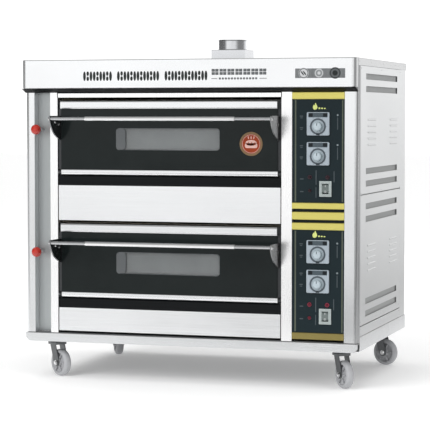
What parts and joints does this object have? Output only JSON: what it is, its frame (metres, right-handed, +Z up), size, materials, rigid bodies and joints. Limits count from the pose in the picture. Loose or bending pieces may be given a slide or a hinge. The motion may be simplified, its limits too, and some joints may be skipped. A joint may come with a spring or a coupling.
{
  "type": "deck oven",
  "caption": "Free-standing stainless gas baking oven with stacked drop-down glazed doors, flue dampers, control column and castors.",
  "frame": {"origin": "on the floor, under the middle of the whole object", "axes": "+Z up, front faces -Y, +X to the right seen from the front"},
  "size_m": [1.354, 1.052, 1.359],
  "materials": {
    "stainless": "brushed",
    "base_steel": "satin",
    "black_steel": "satin",
    "panel_black": "satin",
    "gold_trim": "anodised satin",
    "case_grey": "satin",
    "switch_white": "satin",
    "lamp_red": "gloss",
    "wool": "fibrous",
    "burner_steel": "satin",
    "sole_steel": "matte",
    "gas_pipe": "satin",
    "valve_alloy": "cast",
    "lamp_glass": "clear",
    "flue_steel": "galvanised",
    "black_glass": "gloss, printed toughened glass",
    "window_glass": "clear",
    "trim_alloy": "satin",
    "polished_steel": "polished",
    "red_ball": "gloss",
    "dial_grey": "satin",
    "rocker_grey": "satin",
    "fork_zinc": "zinc plated",
    "wheel_nylon": "satin"
  },
  "bodies": {
    "oven_body": {"access_panels": "stainless", "back_panel": "stainless", "base_frame": "base_steel", "base_rail": "stainless", "castor_plates": "base_steel", "chamber_lamps": "lamp_glass", "chamber_liners": "burner_steel", "control_panels": "panel_black", "controller_cases": "case_grey", "door_surround": "stainless", "flue_box": "flue_steel", "flue_duct": "base_steel", "flue_pipe": "flue_steel", "front_corner_posts": "stainless", "gas_control_units": "valve_alloy", "gas_manifold": "gas_pipe", "gold_trims": "gold_trim", "header_fascia": "stainless", "header_under_trim": "black_steel", "indicator_lamps": "lamp_red", "insulation_slabs": "wool", "left_side_panels": "stainless", "rear_posts": "stainless", "right_side_panels": "stainless", "roof_panel": "stainless", "sill_strips": "black_steel", "sole_plates": "sole_steel", "switch_cases": "switch_white", "thermocouple_probes": "burner_steel", "tube_burners": "burner_steel"},
    "lower_door": {"lower_door_frame": "stainless", "lower_door_glass": "black_glass", "lower_window_panes": "window_glass", "lower_door_trims": "trim_alloy", "lower_handle_bar": "polished_steel", "lower_handle_brackets": "polished_steel"},
    "lower_damper": {"lower_damper_knob": "red_ball", "lower_damper_rod": "polished_steel"},
    "lower_top_heat_control": {"lower_top_heat_dial": "dial_grey"},
    "lower_bottom_heat_control": {"lower_bottom_heat_dial": "dial_grey"},
    "lower_power_switch": {"lower_power_rocker": "rocker_grey"},
    "upper_door": {"upper_door_frame": "stainless", "upper_door_glass": "black_glass", "upper_window_panes": "window_glass", "upper_door_trims": "trim_alloy", "upper_handle_bar": "polished_steel", "upper_handle_brackets": "polished_steel"},
    "upper_damper": {"upper_damper_knob": "red_ball", "upper_damper_rod": "polished_steel"},
    "upper_top_heat_control": {"upper_top_heat_dial": "dial_grey"},
    "upper_bottom_heat_control": {"upper_bottom_heat_dial": "dial_grey"},
    "upper_power_switch": {"upper_power_rocker": "rocker_grey"},
    "castor_front_left": {"castor_fork_front_left": "fork_zinc"},
    "roller_front_left": {"castor_wheel_front_left": "wheel_nylon"},
    "castor_front_right": {"castor_fork_front_right": "fork_zinc"},
    "roller_front_right": {"castor_wheel_front_right": "wheel_nylon"},
    "castor_rear_left": {"castor_fork_rear_left": "fork_zinc"},
    "roller_rear_left": {"castor_wheel_rear_left": "wheel_nylon"},
    "castor_rear_right": {"castor_fork_rear_right": "fork_zinc"},
    "roller_rear_right": {"castor_wheel_rear_right": "wheel_nylon"}
  },
  "joints": [
    {"name": "lower_door_hinge", "type": "hinge", "parent": "oven_body", "child": "lower_door", "pos_m": [-0.08125, -0.4, 0.337], "axis": [1, 0, 0], "range_deg": [0, 90]},
    {"name": "lower_damper_slide", "type": "slide", "parent": "oven_body", "child": "lower_damper", "axis": [0, -1, 0], "range_m": [0, 0.12]},
    {"name": "lower_top_heat_turn", "type": "hinge", "parent": "oven_body", "child": "lower_top_heat_control", "pos_m": [0.52085, -0.424, 0.519], "axis": [0, 1, 0], "range_deg": [0, 300]},
    {"name": "lower_bottom_heat_turn", "type": "hinge", "parent": "oven_body", "child": "lower_bottom_heat_control", "pos_m": [0.52085, -0.424, 0.406], "axis": [0, 1, 0], "range_deg": [0, 300]},
    {"name": "lower_power_rock", "type": "hinge", "parent": "oven_body", "child": "lower_power_switch", "pos_m": [0.5495, -0.401, 0.283], "axis": [1, 0, 0], "range_deg": [-12, 12]},
    {"name": "upper_door_hinge", "type": "hinge", "parent": "oven_body", "child": "upper_door", "pos_m": [-0.08125, -0.4, 0.822], "axis": [1, 0, 0], "range_deg": [0, 90]},
    {"name": "upper_damper_slide", "type": "slide", "parent": "oven_body", "child": "upper_damper", "axis": [0, -1, 0], "range_m": [0, 0.12]},
    {"name": "upper_top_heat_turn", "type": "hinge", "parent": "oven_body", "child": "upper_top_heat_control", "pos_m": [0.52085, -0.424, 1.004], "axis": [0, 1, 0], "range_deg": [0, 300]},
    {"name": "upper_bottom_heat_turn", "type": "hinge", "parent": "oven_body", "child": "upper_bottom_heat_control", "pos_m": [0.52085, -0.424, 0.891], "axis": [0, 1, 0], "range_deg": [0, 300]},
    {"name": "upper_power_rock", "type": "hinge", "parent": "oven_body", "child": "upper_power_switch", "pos_m": [0.5495, -0.401, 0.768], "axis": [1, 0, 0], "range_deg": [-12, 12]},
    {"name": "swivel_front_left", "type": "hinge", "parent": "oven_body", "child": "castor_front_left", "pos_m": [-0.588, -0.314, 0.13], "axis": [0, 0, 1], "continuous": true},
    {"name": "roll_front_left", "type": "hinge", "parent": "castor_front_left", "child": "roller_front_left", "pos_m": [-0.56284, -0.33034, 0.054], "axis": [0.5446, 0.8387, 0], "continuous": true},
    {"name": "swivel_front_right", "type": "hinge", "parent": "oven_body", "child": "castor_front_right", "pos_m": [0.588, -0.314, 0.13], "axis": [0, 0, 1], "continuous": true},
    {"name": "roll_front_right", "type": "hinge", "parent": "castor_front_right", "child": "roller_front_right", "pos_m": [0.60807, -0.33629, 0.054], "axis": [0.7431, 0.6691, 0], "continuous": true},
    {"name": "swivel_rear_left", "type": "hinge", "parent": "oven_body", "child": "castor_rear_left", "pos_m": [-0.588, 0.386, 0.13], "axis": [0, 0, 1], "continuous": true},
    {"name": "roll_rear_left", "type": "hinge", "parent": "castor_rear_left", "child": "roller_rear_left", "pos_m": [-0.573, 0.36002, 0.054], "axis": [0.866, 0.5, 0], "continuous": true},
    {"name": "swivel_rear_right", "type": "hinge", "parent": "oven_body", "child": "castor_rear_right", "pos_m": [0.588, 0.386, 0.13], "axis": [0, 0, 1], "continuous": true},
    {"name": "roll_rear_right", "type": "hinge", "parent": "castor_rear_right", "child": "roller_rear_right", "pos_m": [0.61619, 0.37574, 0.054], "axis": [0.342, 0.9397, 0], "continuous": true}
  ]
}
